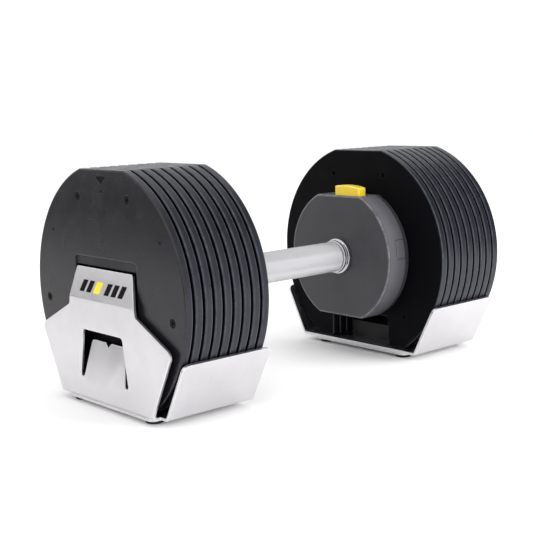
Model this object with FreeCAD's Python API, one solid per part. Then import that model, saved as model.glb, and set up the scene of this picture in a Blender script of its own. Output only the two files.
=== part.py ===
import FreeCAD, Part
import math
import os

# Adjustable dumbbell on two sheet-metal cradles.
#
# Frame: millimetres, +X along the handle, +Y across it, +Z up, origin on the table
# midway between the two cradles.  Every end piece is first built for the right-hand
# (+X) end with z = 0 on the handle's axis.  place() then lifts it to its real height
# and turns it half a turn about +Z for the left-hand end.

os.makedirs("parts", exist_ok=True)
V = FreeCAD.Vector
X_AXIS = V(1, 0, 0)
Y_AXIS = V(0, 1, 0)
Z_AXIS = V(0, 0, 1)

# ---------------------------------------------------------------- driving dimensions
# weight plates
PLATE_COUNT = 9
PLATE_R = 102.0
PLATE_TOP = 97.5            # top flat above the axis
PLATE_BOTTOM = 86.0         # bottom flat below the axis
PLATE_T = 7.0
PLATE_PITCH = 9.2
PLATE_EDGE = 0.8            # chamfer round both faces
STACK_START = 103.0         # inner face of the first plate
STACK_END = STACK_START + PLATE_PITCH * PLATE_COUNT - (PLATE_PITCH - PLATE_T)
NOTCH_HALF = 36.0           # tunnel under the plates
NOTCH_TOP = -58.0
RELIEF_DEPTH = 3.5          # lightening pocket on each plate's hidden face
RELIEF_RIM = 10.0
RELIEF_HUB_R = 22.0
COVER_T = 2.0               # moulded cover on the end plate
COVER_START = STACK_END - COVER_T
END_PLATE_START = STACK_END - PLATE_T
CHANNEL_HALF = 42.2         # channel in the end plate for the cradle's neck
CHANNEL_TOP = 20.8
CHANNEL_DEPTH = 4.6
STEP_TOP = 27.5             # shallow step above the channel
STEP_DEPTH = 1.2
# (distance from the axis, degrees) of the end plate's screws, its locating dots and the
# sockets in the first plate
SCREWS = ((82.9, 65.6), (82.9, 114.4), (86.7, -7.8), (86.7, 187.8))
DOTS = ((80.5, 90.0), (87.5, 32.0), (87.5, 148.0))
SOCKETS = ((81.0, 67.0), (81.0, 113.0), (79.0, -45.0), (79.0, 225.0))
SOCKET_R = 2.4
SOCKET_DEPTH = 1.5
DOT_R = 1.2
DOT_DEPTH = 1.0
MARK_Z = (86.8, 92.0)       # small triangle that points down at the top dot
MARK_HALF = 6.5
MARK_DEPTH = 1.0
SCREW_HEAD_R = 2.9
SCREW_SHANK_R = 1.5
SCREW_GRIP = 4.0            # thread length below the head's seat
HEX_R = 1.5                 # socket in a screw's head
HEAD_SINK = 1.4             # depth of an end plate screw's seat
HEAD_BELOW = 0.3            # an end plate screw's head below the cover's face

# handle
GRIP_R = 14.1
JOURNAL_R = 13.2
TUBE_BORE_R = 9.3
GRIP_HALF = 68.0            # half length of the knurled part
HOUSING_R = 63.0
HOUSING_FLAT = 56.8         # top and bottom flats
HOUSING_START = 76.0
HOUSING_END = 102.2
FRONT_T = 3.0
RIM_T = 3.6
REAR_T = 4.0
CAVITY_END = HOUSING_END - REAR_T
HOUSING_CHAMFER = 1.4
BUSH_R = 15.8
BUSH_FLANGE = 2.5
BUSH_GAP = 0.3              # bush flange to crown wheel
RUNNING = 0.05              # radial running clearance

# drive train
BAR_R = 9.0
BAR_SPLIT = 0.3             # each half-round bar stops this far from the middle plane
BAR_TIP = 98.8
BAR_TAIL = -70.0
BAR_NOSE = 1.0              # chamfer round the tip
BAR_HOLE_R = 9.4
MODULE = 1.5
PINION_TEETH = 8
PINION_R = MODULE * PINION_TEETH / 2
PINION_TIP_R = 7.2
PINION_ROOT_R = 4.3
PINION_BORE_R = 1.55
TOOTH_PITCH = math.pi * MODULE
RACK_LINE = -1.8            # pitch line of the rack
PINION_X = 90.6
PINION_Y = RACK_LINE + PINION_R
PINION_LOW = -8.4
PINION_HIGH = 24.0
RACK_ROOT = -3.5
CROWN_R = 23.5
CROWN_START = 80.0
CROWN_END = 82.8
CROWN_PEGS = 26
PEG_CIRCLE_R = CROWN_PEGS * MODULE / 2
PEG_LENGTH = 3.2
PEG_R = (0.95, 0.55)        # at the root and at the tip
CLICK_NOTCH_R = 1.6
TRAVEL = PLATE_PITCH * PLATE_COUNT
CLICK_ANGLE = math.degrees(PLATE_PITCH / PEG_CIRCLE_R)

# release button
BUTTON_X = (77.9, 88.5)
BUTTON_Y = (-24.4, 6.4)
BUTTON_RISE = 9.5
BUTTON_TRAVEL = 4.0
BUTTON_GAP = 0.3
BUTTON_CORNER = 2.0
FLANGE_TOP = HOUSING_FLAT - RIM_T - BUTTON_GAP
FLANGE_T = 3.0
SPRING_X = 84.5
SPRING_Y = -19.0
SPRING_R = 2.4
SPRING_WIRE_R = 0.4
SPRING_FOOT = 40.0
SPRING_HALF_TURNS = 9
SHELF_HALF = 4.0
SHELF_T = 2.0

# cradle
SHEET = 2.5
OUTER_BEND = 2.2            # outer radius of the bend below the end wall
SEAT_GAP = 0.3
BASE_TOP = -(PLATE_BOTTOM + SEAT_GAP)
CRADLE_START = 98.0
WALL_LEAN = 27.0            # side walls, degrees from upright
WALL_DISTANCE = 103.0       # inner face of a side wall from the axis
WALL_TOP = -41.5
WALL_END = 183.0
END_GAP = 3.5               # end plate to end wall
END_INNER = STACK_END + END_GAP
END_OUTER = END_INNER + SHEET
END_HALF_LOW = 65.0
SHOULDER = (90.5, -34.0)
NECK_FOOT = (46.0, -12.0)
NECK_BEND = (45.0, -5.5)
NECK_TOP_HALF = 38.6
NECK_LENGTH = 25.2
NECK_LEAN = 11.0
WINDOW_TOP = (27.5, -30.5)
WINDOW_LOW = (33.6, -70.0)
TONGUE_TOP = (23.2, -39.0)
TONGUE_LOW = (29.0, -71.0)
TONGUE_LEAN = 11.0
NOTCH_IN_TONGUE = 3.8       # half width and depth of the notch in its top edge
RAIL_START = 121.0
RAIL_END = 183.0
RAIL_HALF = 27.0
RAIL_TOP = -71.5
FOOT_PLATE = (99.5, 187.0, 59.0)
FOOT_PLATE_T = 2.5
FOOT_PLATE_CORNER = 6.0
FOOT_INSET = 9.0            # centre of a foot from the foot plate's edges
FOOT_R = 7.0
FOOT_H = 3.0
AXIS_Z = PLATE_BOTTOM + SEAT_GAP + SHEET + FOOT_PLATE_T + FOOT_H


# ---------------------------------------------------------------- small helpers
TOUCH = 1e-4                # two places nearer than this are the same


def box(x, y, z):
    """Block between the low and high values of x, y and z."""
    return Part.makeBox(x[1] - x[0], y[1] - y[0], z[1] - z[0], V(x[0], y[0], z[0]))


def rod_x(radius, start, end, y=0.0, z=0.0):
    return Part.makeCylinder(radius, end - start, V(start, y, z), X_AXIS)


def rod_z(radius, start, end, x=0.0, y=0.0):
    return Part.makeCylinder(radius, end - start, V(x, y, start), Z_AXIS)


def ring_x(outer, inner, start, end):
    return rod_x(outer, start, end).cut(rod_x(inner, start, end))


def prism_x(points, start, end):
    """Closed outline of (y, z) points, extruded from x = start to x = end."""
    corners = [V(start, y, z) for y, z in points]
    face = Part.Face(Part.makePolygon(corners + corners[:1]))
    return face.extrude(V(end - start, 0, 0))


def prism_z(points, start, end):
    """Closed outline of (x, y) points, extruded from z = start to z = end."""
    corners = [V(x, y, start) for x, y in points]
    face = Part.Face(Part.makePolygon(corners + corners[:1]))
    return face.extrude(V(0, 0, end - start))


def mirrored(half):
    """Outline symmetric about y = 0 from its +Y points, listed bottom to top."""
    return half + [(-y, z) for y, z in reversed(half)]


def face_outline_edges(shape, x):
    """Edges that lie in the plane at x."""
    found = []
    for edge in shape.Edges:
        reach = max(abs(edge.BoundBox.XMin - x), abs(edge.BoundBox.XMax - x))
        if reach < TOUCH:
            found.append(edge)
    return found


def level_edges(shape, z):
    """Edges that lie in the plane at z."""
    found = []
    for edge in shape.Edges:
        reach = max(abs(edge.BoundBox.ZMin - z), abs(edge.BoundBox.ZMax - z))
        if reach < TOUCH:
            found.append(edge)
    return found


def corner_edges(shape, direction, points, reach=0.6):
    """Straight edges along direction that pass near the listed (y, z) corner points."""
    found = []
    for edge in shape.Edges:
        run = edge.Vertexes[-1].Point - edge.Vertexes[0].Point
        if run.Length < 1e-6 or abs(run.normalize().dot(direction)) < 0.999:
            continue
        middle = edge.CenterOfMass
        if any(math.hypot(middle.y - y, middle.z - z) < reach for y, z in points):
            found.append(edge)
    return found


def upright_edges(shape, height):
    """Edges that are as tall as height."""
    return [e for e in shape.Edges if abs(e.BoundBox.ZLength - height) < TOUCH]


def polar(radius, degrees):
    angle = math.radians(degrees)
    return radius * math.cos(angle), radius * math.sin(angle)


def place(shape, side):
    """Lift to real height, and turn half a turn about +Z for the left-hand end."""
    placed = shape.copy()
    if side == "left":
        placed.rotate(V(0, 0, 0), Z_AXIS, 180)
    placed.translate(V(0, 0, AXIS_Z))
    return placed


def flip_for(shape, side):
    """The left-hand gear train works from the bottom of its crown wheel."""
    return shape if side == "right" else shape.mirror(V(0, 0, 0), Z_AXIS)


def save(name, shape):
    shape.exportStep("parts/" + name + ".step")


# ---------------------------------------------------------------- weight plates
def plate_outline(start, end, inset=0.0):
    """Disc with a flat at the top, a flat at the bottom and the tunnel notch."""
    radius = PLATE_R - inset
    disc = rod_x(radius, start, end)
    keep = box((start, end), (-radius, radius), (-PLATE_BOTTOM + inset, PLATE_TOP - inset))
    notch_half = NOTCH_HALF + inset
    notch = box((start, end), (-notch_half, notch_half), (-PLATE_R, NOTCH_TOP + inset))
    return disc.common(keep).cut(notch)


def bar_hole(start, end):
    """Half-round hole that one selector bar slides through."""
    keep = box((start, end), (-BAR_HOLE_R, BAR_SPLIT / 3), (-BAR_HOLE_R, BAR_HOLE_R))
    return rod_x(BAR_HOLE_R, start, end).common(keep)


def chamfered(solid, planes, size):
    edges = []
    for x in planes:
        edges += face_outline_edges(solid, x)
    return solid.makeChamfer(size, edges)


def relief(start, end):
    return plate_outline(start, end, RELIEF_RIM).cut(rod_x(RELIEF_HUB_R, start, end))


def plate(number):
    """One-piece plate; number counts from 0 at the handle outwards."""
    start = STACK_START + PLATE_PITCH * number
    end = start + PLATE_T
    solid = chamfered(plate_outline(start, end), (start, end), PLATE_EDGE)
    solid = solid.cut(relief(end - RELIEF_DEPTH, end))
    return solid.cut(bar_hole(start, end))


def first_plate():
    """Innermost plate: its open face has a round socket at each fixing."""
    solid = plate(0)
    for socket in SOCKETS:
        y, z = polar(*socket)
        solid = solid.cut(rod_x(SOCKET_R, STACK_START, STACK_START + SOCKET_DEPTH, y, z))
    return solid


def neck_channel():
    """Space in the end plate that the cradle's neck stands in, open downwards."""
    wide = (-CHANNEL_HALF, CHANNEL_HALF)
    deep = box((STACK_END - CHANNEL_DEPTH, STACK_END), wide, (-PLATE_R, CHANNEL_TOP))
    shallow = box((STACK_END - STEP_DEPTH, STACK_END), wide, (CHANNEL_TOP, STEP_TOP))
    return deep.fuse(shallow)


def end_plate_core():
    solid = plate_outline(END_PLATE_START, COVER_START)
    solid = chamfered(solid, (END_PLATE_START,), PLATE_EDGE)
    solid = solid.cut(neck_channel())
    solid = solid.cut(bar_hole(END_PLATE_START, STACK_END))
    for screw in SCREWS:
        y, z = polar(*screw)
        solid = solid.cut(rod_x(SCREW_SHANK_R, COVER_START - SCREW_GRIP, COVER_START, y, z))
    return solid


def end_plate_cover():
    solid = chamfered(plate_outline(COVER_START, STACK_END), (STACK_END,), PLATE_EDGE)
    solid = solid.cut(neck_channel())
    for screw in SCREWS:
        y, z = polar(*screw)
        solid = solid.cut(rod_x(SCREW_HEAD_R + 0.5, STACK_END - HEAD_SINK, STACK_END, y, z))
        solid = solid.cut(rod_x(SCREW_SHANK_R, COVER_START, STACK_END, y, z))
    for dot in DOTS:
        y, z = polar(*dot)
        solid = solid.cut(rod_x(DOT_R, STACK_END - DOT_DEPTH, STACK_END, y, z))
    corners = [(0, MARK_Z[0]), (MARK_HALF, MARK_Z[1]), (-MARK_HALF, MARK_Z[1])]
    mark = prism_x(corners, STACK_END - MARK_DEPTH, STACK_END)
    return solid.cut(mark)


def cap_screw(seat, top, end, y, z):
    """Screw along x with a hexagon socket in its head."""
    head = rod_x(SCREW_HEAD_R, seat, top, y, z)
    shank = rod_x(SCREW_SHANK_R, end, seat, y, z)
    socket = []
    for corner in range(6):
        across, up = polar(HEX_R, 60 * corner)
        socket.append((y + across, z + up))
    return head.fuse(shank).cut(prism_x(socket, top - 0.8, top))


def end_plate_screws():
    screws = []
    for screw in SCREWS:
        y, z = polar(*screw)
        seat = STACK_END - HEAD_SINK
        screws.append(cap_screw(seat, STACK_END - HEAD_BELOW, COVER_START - SCREW_GRIP, y, z))
    return Part.makeCompound(screws)


# ---------------------------------------------------------------- cradle
def side_wall():
    """Leaning wall on the +Y side, with rounded upper corners."""
    lean = math.radians(WALL_LEAN)
    foot_y = (WALL_DISTANCE + BASE_TOP * math.sin(lean)) / math.cos(lean)
    slope = (WALL_TOP - BASE_TOP) / math.cos(lean)
    wall = box((CRADLE_START, WALL_END), (0, SHEET), (-SHEET, slope))
    upper = corner_edges(wall, Y_AXIS, [(SHEET / 2, slope)])
    wall = wall.makeFillet(6.0, upper)
    wall.rotate(V(0, 0, 0), X_AXIS, -WALL_LEAN)
    wall.translate(V(0, foot_y, BASE_TOP))
    below = box((CRADLE_START, WALL_END), (0, 2 * PLATE_R), (-2 * PLATE_R, BASE_TOP - SHEET))
    return wall.cut(below), foot_y


def end_wall():
    """Upright end wall, the neck that leans over it and the tongue in its window."""
    low = BASE_TOP - SHEET
    outline = mirrored([(END_HALF_LOW, low), SHOULDER, NECK_FOOT, NECK_BEND])
    wall = prism_x(outline, END_INNER, END_OUTER)
    shoulders = corner_edges(wall, X_AXIS, [SHOULDER, (-SHOULDER[0], SHOULDER[1])])
    wall = wall.makeFillet(6.0, shoulders)
    corners = mirrored([WINDOW_LOW, WINDOW_TOP])
    window = prism_x(corners, END_INNER, END_OUTER)
    window = window.makeFillet(3.0, corner_edges(window, X_AXIS, corners))
    return wall.cut(window).fuse(neck()).fuse(tongue())


def lean_neck(shape):
    shape.rotate(V(END_OUTER, 0, NECK_BEND[1]), Y_AXIS, -NECK_LEAN)
    return shape


def neck():
    top = NECK_BEND[1] + NECK_LENGTH
    outline = mirrored([NECK_BEND, (NECK_TOP_HALF, top)])
    sheet = prism_x(outline, END_INNER, END_OUTER)
    corners = corner_edges(sheet, X_AXIS, [(NECK_TOP_HALF, top), (-NECK_TOP_HALF, top)])
    return lean_neck(sheet.makeFillet(2.5, corners))


LABEL_HALF = 35.0
LABEL_Z = (-2.5, 12.5)
LABEL_T = 0.25


def neck_label():
    return lean_neck(box((END_OUTER, END_OUTER + LABEL_T), (-LABEL_HALF, LABEL_HALF), LABEL_Z))


def tongue():
    sheet = prism_x(mirrored([TONGUE_LOW, TONGUE_TOP]), END_INNER, END_OUTER)
    corners = corner_edges(sheet, X_AXIS, [TONGUE_TOP, (-TONGUE_TOP[0], TONGUE_TOP[1])])
    sheet = sheet.makeFillet(3.0, corners)
    top = TONGUE_TOP[1]
    notch = [(-NOTCH_IN_TONGUE, top), (NOTCH_IN_TONGUE, top), (0, top - NOTCH_IN_TONGUE)]
    sheet = sheet.cut(prism_x(notch, END_INNER, END_OUTER))
    sheet.rotate(V((END_INNER + END_OUTER) / 2, 0, TONGUE_LOW[1]), Y_AXIS, -TONGUE_LEAN)
    return sheet


CRADLE_SCREWS = [(x, y) for x in (112.0, 172.0) for y in (-44.0, 44.0)]
CRADLE_HEAD_R = 4.0
CRADLE_HEAD_T = 2.0
CRADLE_SHANK_R = 2.0


def countersunk_screw(x, y):
    """Flat-headed screw with its head flush in the base."""
    seat = BASE_TOP - CRADLE_HEAD_T
    foot = BASE_TOP - SHEET - FOOT_PLATE_T
    head = Part.makeCone(CRADLE_SHANK_R, CRADLE_HEAD_R, CRADLE_HEAD_T, V(x, y, seat), Z_AXIS)
    return head.fuse(rod_z(CRADLE_SHANK_R, foot, seat, x, y))


def cradle():
    wall, foot_y = side_wall()
    other = wall.mirror(V(0, 0, 0), Y_AXIS)
    low = BASE_TOP - SHEET
    base = box((CRADLE_START, WALL_END), (-foot_y, foot_y), (low, BASE_TOP))
    lip = box((WALL_END, END_OUTER), (-END_HALF_LOW, END_HALF_LOW), (low, BASE_TOP))
    sheet = base.fuse([wall, other, lip, end_wall()]).removeSplitter()
    corner = [e for e in face_outline_edges(sheet, END_OUTER) if abs(e.BoundBox.ZMax - low) < TOUCH]
    sheet = sheet.makeFillet(OUTER_BEND, corner)
    for x, y in CRADLE_SCREWS:
        sheet = sheet.cut(countersunk_screw(x, y))
    return sheet


def foot_plate():
    x_low, x_high, half = FOOT_PLATE
    top = BASE_TOP - SHEET
    sheet = box((x_low, x_high), (-half, half), (top - FOOT_PLATE_T, top))
    sheet = sheet.makeFillet(FOOT_PLATE_CORNER, upright_edges(sheet, FOOT_PLATE_T))
    for x, y in CRADLE_SCREWS:
        sheet = sheet.cut(countersunk_screw(x, y))
    return sheet


def feet():
    x_low, x_high, half = FOOT_PLATE
    top = BASE_TOP - SHEET - FOOT_PLATE_T
    pads = []
    for x in (x_low + FOOT_INSET, x_high - FOOT_INSET):
        for y in (-half + FOOT_INSET, half - FOOT_INSET):
            pad = rod_z(FOOT_R, top - FOOT_H, top, x, y)
            pads.append(pad.makeChamfer(0.6, level_edges(pad, top - FOOT_H)))
    return Part.makeCompound(pads)


def divider_rail():
    """Moulded rail that the plates' tunnel fits over."""
    rail = box((RAIL_START, RAIL_END), (-RAIL_HALF, RAIL_HALF), (BASE_TOP, RAIL_TOP))
    corners = [(RAIL_HALF, RAIL_TOP), (-RAIL_HALF, RAIL_TOP)]
    return rail.makeFillet(4.0, corner_edges(rail, X_AXIS, corners))


# ---------------------------------------------------------------- housing
def housing_outline(start, end, inset=0.0):
    radius = HOUSING_R - inset
    flat = HOUSING_FLAT - inset
    return rod_x(radius, start, end).common(box((start, end), (-radius, radius), (-flat, flat)))


COVER_SCREW_R = 53.0
COVER_SCREW_ANGLES = (20.0, 160.0, 200.0, 340.0)
COVER_SCREW_GRIP = 8.0
COVER_HEAD_SINK = 2.0
BOSS_R = 4.2
PLUG_X = (87.0, 97.9)
PLUG_Z = (1.0, 18.0)
PLUG_REACH = 55.0           # how near to the axis the plug's block comes
PLUG_GAP = 0.35
PLUG_CORNER = 2.6


def plug_block(grow):
    """Rounded block through the rim on the -Y side."""
    along = (PLUG_X[0] - grow, PLUG_X[1] + grow)
    block = box(along, (-2 * HOUSING_R, -PLUG_REACH), (PLUG_Z[0] - grow, PLUG_Z[1] + grow))
    depth = 2 * HOUSING_R - PLUG_REACH
    through = [e for e in block.Edges if abs(e.BoundBox.YLength - depth) < TOUCH]
    return block.makeFillet(PLUG_CORNER, through)


def button_block(grow, low, high):
    along = (BUTTON_X[0] - grow, BUTTON_X[1] + grow)
    across = (BUTTON_Y[0] - grow, BUTTON_Y[1] + grow)
    block = box(along, across, (low, high))
    return block.makeFillet(BUTTON_CORNER, upright_edges(block, high - low))


def housing():
    """Cup that is open at the back; its front wall carries the grip bush."""
    front_end = HOUSING_START + FRONT_T
    shell = housing_outline(HOUSING_START, CAVITY_END)
    shell = chamfered(shell, (HOUSING_START,), HOUSING_CHAMFER)
    shell = shell.cut(housing_outline(front_end, CAVITY_END, RIM_T))
    shell = shell.cut(rod_x(BUSH_R, HOUSING_START, front_end))
    across = (SPRING_Y - SHELF_HALF, SPRING_Y + SHELF_HALF)
    shelf = box((front_end - 1, SPRING_X + 3.5), across, (SPRING_FOOT - SHELF_T, SPRING_FOOT))
    inside = [shelf]
    for angle in COVER_SCREW_ANGLES:
        y, z = polar(COVER_SCREW_R, angle)
        inside.append(rod_x(BOSS_R, front_end, CAVITY_END, y, z))
    shell = shell.fuse(inside).removeSplitter()
    for angle in COVER_SCREW_ANGLES:
        y, z = polar(COVER_SCREW_R, angle)
        shell = shell.cut(rod_x(SCREW_SHANK_R, CAVITY_END - COVER_SCREW_GRIP, CAVITY_END, y, z))
    well_floor = FLANGE_TOP - FLANGE_T - BUTTON_TRAVEL - 1
    shell = shell.cut(button_block(BUTTON_GAP, well_floor, HOUSING_R))
    return shell.cut(plug_block(PLUG_GAP))


def rim_plug():
    """Blanking plug for the setting hole in the rim."""
    curve = housing_outline(PLUG_X[0], PLUG_X[1]).cut(housing_outline(PLUG_X[0], PLUG_X[1], RIM_T))
    return curve.common(plug_block(0.0))


def axle_boss(z_low, z_high):
    across = (PINION_Y - AXLE_BOSS_HALF, PINION_Y + AXLE_BOSS_HALF)
    return box((PINION_X - AXLE_BOSS_HALF, CAVITY_END), across, (z_low, z_high))


AXLE_R = 1.5
AXLE_BOSS_HALF = 3.0
UPPER_BOSS = (PINION_HIGH + 0.6, PINION_HIGH + 5.6)
LOWER_BOSS = (PINION_LOW - 6.0, PINION_LOW - 1.0)


def rear_cover(side):
    """Disc that closes the housing and carries the pinion's axle."""
    disc = housing_outline(CAVITY_END, HOUSING_END)
    bosses = [flip_for(axle_boss(*UPPER_BOSS), side), flip_for(axle_boss(*LOWER_BOSS), side)]
    disc = disc.fuse(bosses).removeSplitter()
    disc = disc.cut(bar_hole(CAVITY_END, HOUSING_END))
    disc = disc.cut(flip_for(pinion_axle(), side))
    for angle in COVER_SCREW_ANGLES:
        y, z = polar(COVER_SCREW_R, angle)
        disc = disc.cut(rod_x(SCREW_SHANK_R, CAVITY_END, HOUSING_END, y, z))
        disc = disc.cut(rod_x(SCREW_HEAD_R, HOUSING_END - COVER_HEAD_SINK, HOUSING_END, y, z))
    return disc


def cover_screws():
    screws = []
    for angle in COVER_SCREW_ANGLES:
        y, z = polar(COVER_SCREW_R, angle)
        seat = HOUSING_END - COVER_HEAD_SINK
        screws.append(cap_screw(seat, HOUSING_END - 0.2, CAVITY_END - COVER_SCREW_GRIP, y, z))
    return Part.makeCompound(screws)


def grip_bush():
    bore = JOURNAL_R + RUNNING
    end = CROWN_START - BUSH_GAP
    sleeve = ring_x(BUSH_R, bore, HOUSING_START, end)
    flange = ring_x(BUSH_R + BUSH_FLANGE, bore, HOUSING_START + FRONT_T, end)
    return sleeve.fuse(flange).removeSplitter()


def pinion_axle():
    return rod_z(AXLE_R, LOWER_BOSS[0], UPPER_BOSS[1], PINION_X, PINION_Y)


# ---------------------------------------------------------------- grip
COLLAR_STEP = 71.0
COLLAR_END = HOUSING_START - 0.3
COLLAR_R = (15.4, 16.6)
COLLAR_EDGE = 0.8


def grip_tube():
    """Knurled tube with a plain journal at each end."""
    tube = rod_x(JOURNAL_R, -CROWN_END, CROWN_END).fuse(rod_x(GRIP_R, -GRIP_HALF, GRIP_HALF))
    tube = tube.removeSplitter().cut(rod_x(TUBE_BORE_R, -CROWN_END, CROWN_END))
    tube.translate(V(0, 0, AXIS_Z))
    return tube


def rim_edges(shape, x, radius):
    """Round edges of one radius in the plane at x."""
    around = 2 * math.pi * radius
    return [e for e in face_outline_edges(shape, x) if abs(e.Length - around) < TOUCH]


def collar():
    small = ring_x(COLLAR_R[0], JOURNAL_R, GRIP_HALF, COLLAR_STEP)
    large = ring_x(COLLAR_R[1], JOURNAL_R, COLLAR_STEP, COLLAR_END)
    ring = small.fuse(large).removeSplitter()
    front = rim_edges(ring, GRIP_HALF, COLLAR_R[0])
    step = rim_edges(ring, COLLAR_STEP, COLLAR_R[1])
    return ring.makeChamfer(COLLAR_EDGE, front + step)


def crown_wheel(side):
    """Disc on the tube's end with a ring of conical pegs and one click notch per plate."""
    wheel = ring_x(CROWN_R, JOURNAL_R, CROWN_START, CROWN_END)
    for click in range(PLATE_COUNT + 1):
        y, z = polar(CROWN_R, -90 + CLICK_ANGLE * click)
        wheel = wheel.cut(rod_x(CLICK_NOTCH_R, CROWN_START, CROWN_END, y, z))
    first = math.degrees(math.acos(PINION_Y / PEG_CIRCLE_R))
    for index in range(CROWN_PEGS):
        y, z = polar(PEG_CIRCLE_R, first + 360.0 / CROWN_PEGS * index)
        peg = Part.makeCone(PEG_R[0], PEG_R[1], PEG_LENGTH, V(CROWN_END, y, z), X_AXIS)
        wheel = wheel.fuse(peg)
    return flip_for(wheel, side)


# ---------------------------------------------------------------- selector bars and pinions
TOOTH_TIP_HALF = 0.5
TOOTH_ROOT_HALF = 1.2


def pinion():
    """Pinion with a gap, not a tooth, facing both the crown wheel and the rack."""
    outline = []
    for tooth in range(PINION_TEETH):
        middle = 360.0 / PINION_TEETH * (tooth + 0.5)
        root = math.degrees(TOOTH_ROOT_HALF / PINION_ROOT_R)
        tip = math.degrees(TOOTH_TIP_HALF / PINION_TIP_R)
        outline.append(polar(PINION_ROOT_R, middle - root))
        outline.append(polar(PINION_TIP_R, middle - tip))
        outline.append(polar(PINION_TIP_R, middle + tip))
        outline.append(polar(PINION_ROOT_R, middle + root))
    gear = prism_z(outline, PINION_LOW, PINION_HIGH)
    gear.translate(V(PINION_X, PINION_Y, 0))
    return gear.cut(rod_z(PINION_BORE_R, PINION_LOW, PINION_HIGH, PINION_X, PINION_Y))


RACK_GAP_MOUTH = 2.05
RACK_GAP_FLOOR = 1.1


def selector_bar():
    """Half-round bar with rack teeth cut across its flat face."""
    keep = box((BAR_TAIL, BAR_TIP), (-BAR_R, -BAR_SPLIT), (-BAR_R, BAR_R))
    shank = rod_x(BAR_R, BAR_TAIL, BAR_TIP - BAR_NOSE)
    nose = Part.makeCone(BAR_R, BAR_R - BAR_NOSE, BAR_NOSE, V(BAR_TIP - BAR_NOSE, 0, 0), X_AXIS)
    bar = shank.fuse(nose).common(keep)
    teeth = int(TRAVEL / TOOTH_PITCH) + 4
    gaps = []
    for index in range(-1, teeth):
        x = PINION_X + TOOTH_PITCH * (0.5 - index)
        if x + RACK_GAP_MOUTH > BAR_TIP - 1:
            continue
        mouth = [(x - RACK_GAP_MOUTH, 0.0), (x - RACK_GAP_FLOOR, RACK_ROOT)]
        floor = [(x + RACK_GAP_FLOOR, RACK_ROOT), (x + RACK_GAP_MOUTH, 0.0)]
        gaps.append(prism_z(mouth + floor, -BAR_R, BAR_R))
    return bar.cut(Part.makeCompound(gaps))


# ---------------------------------------------------------------- release button
YOKE_X = (80.4, 82.4)
YOKE_INNER = 26.5
YOKE_OUTER = 30.5
YOKE_STEM_Y = (-12.0, -2.0)
YOKE_LIFT = 2.0             # extra room above the crown wheel
LOCK_TOOTH_HALF = 1.3
LOCK_GAP = 0.6
CAP_FILLET = 1.4
FLANGE_LIP = 1.8


def yoke_block(half):
    return box(YOKE_X, (-half, half), (-half - BUTTON_TRAVEL, half + YOKE_LIFT))


def release_button():
    """Yellow cap, its flange and the yoke that reaches round the crown wheel."""
    cap = button_block(0.0, FLANGE_TOP - FLANGE_T, HOUSING_FLAT + BUTTON_RISE)
    cap = cap.makeFillet(CAP_FILLET, level_edges(cap, HOUSING_FLAT + BUTTON_RISE))
    along = (HOUSING_START + FRONT_T + 0.4, BUTTON_X[1] + FLANGE_LIP)
    across = (BUTTON_Y[0] - FLANGE_LIP, BUTTON_Y[1] + FLANGE_LIP)
    flange = box(along, across, (FLANGE_TOP - FLANGE_T, FLANGE_TOP))
    stem = box(YOKE_X, YOKE_STEM_Y, (YOKE_OUTER, FLANGE_TOP - FLANGE_T))
    frame = yoke_block(YOKE_OUTER).cut(yoke_block(YOKE_INNER))
    tooth_foot = -YOKE_INNER - BUTTON_TRAVEL
    tooth_across = (-LOCK_TOOTH_HALF, LOCK_TOOTH_HALF)
    tooth = box(YOKE_X, tooth_across, (tooth_foot, -CROWN_R - LOCK_GAP))
    return cap.fuse([flange, stem, frame, tooth]).removeSplitter()


def spring_half_turn(start, end):
    """Half a turn of wire that rises from start to end in a tilted plane."""
    centre = (start + end) / 2
    across = start - centre
    ahead = Y_AXIS if across.x > 0 else -Y_AXIS
    section = Part.Face(Part.Wire(Part.makeCircle(SPRING_WIRE_R, start, ahead)))
    return section.revolve(centre, across.cross(ahead), 180)


def button_spring():
    """Compression spring between the housing's shelf and the button's flange."""
    low = SPRING_FOOT + SPRING_WIRE_R
    high = FLANGE_TOP - FLANGE_T - SPRING_WIRE_R
    rise = (high - low) / SPRING_HALF_TURNS
    ends = []
    for half_turn in range(SPRING_HALF_TURNS + 1):
        side = SPRING_R if half_turn % 2 == 0 else -SPRING_R
        ends.append(V(SPRING_X + side, SPRING_Y, low + rise * half_turn))
    coil = [spring_half_turn(start, end) for start, end in zip(ends, ends[1:])]
    return coil[0].fuse(coil[1:])


# ---------------------------------------------------------------- write every node
def end_nodes(side):
    """Every node at one end that is not a one-piece plate."""
    nodes = {
        "cradle": cradle(),
        "foot_plate": foot_plate(),
        "feet": feet(),
        "cradle_screws": Part.makeCompound([countersunk_screw(x, y) for x, y in CRADLE_SCREWS]),
        "divider_rail": divider_rail(),
        "neck_label": neck_label(),
        "housing": housing(),
        "rear_cover": rear_cover(side),
        "cover_screws": cover_screws(),
        "rim_plug": rim_plug(),
        "grip_bush": grip_bush(),
        "pinion_axle": flip_for(pinion_axle(), side),
        "collar": collar(),
        "crown_wheel": crown_wheel(side),
        "pinion": flip_for(pinion(), side),
        "selector_bar": selector_bar(),
        "release_button": release_button(),
        "button_spring": button_spring(),
        "end_plate_core": end_plate_core(),
        "end_plate_cover": end_plate_cover(),
        "end_plate_screws": end_plate_screws(),
    }
    return nodes


save("grip_tube", grip_tube())
for side in ("left", "right"):
    for name, shape in end_nodes(side).items():
        save(name + "_" + side, place(shape, side))
    save("plate_1_" + side, place(first_plate(), side))
    for number in range(1, PLATE_COUNT - 1):
        save("plate_" + str(number + 1) + "_" + side, place(plate(number), side))
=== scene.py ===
import math

import bmesh
import bpy
from mathutils import Matrix, Vector
from mathutils.geometry import tessellate_polygon


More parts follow.
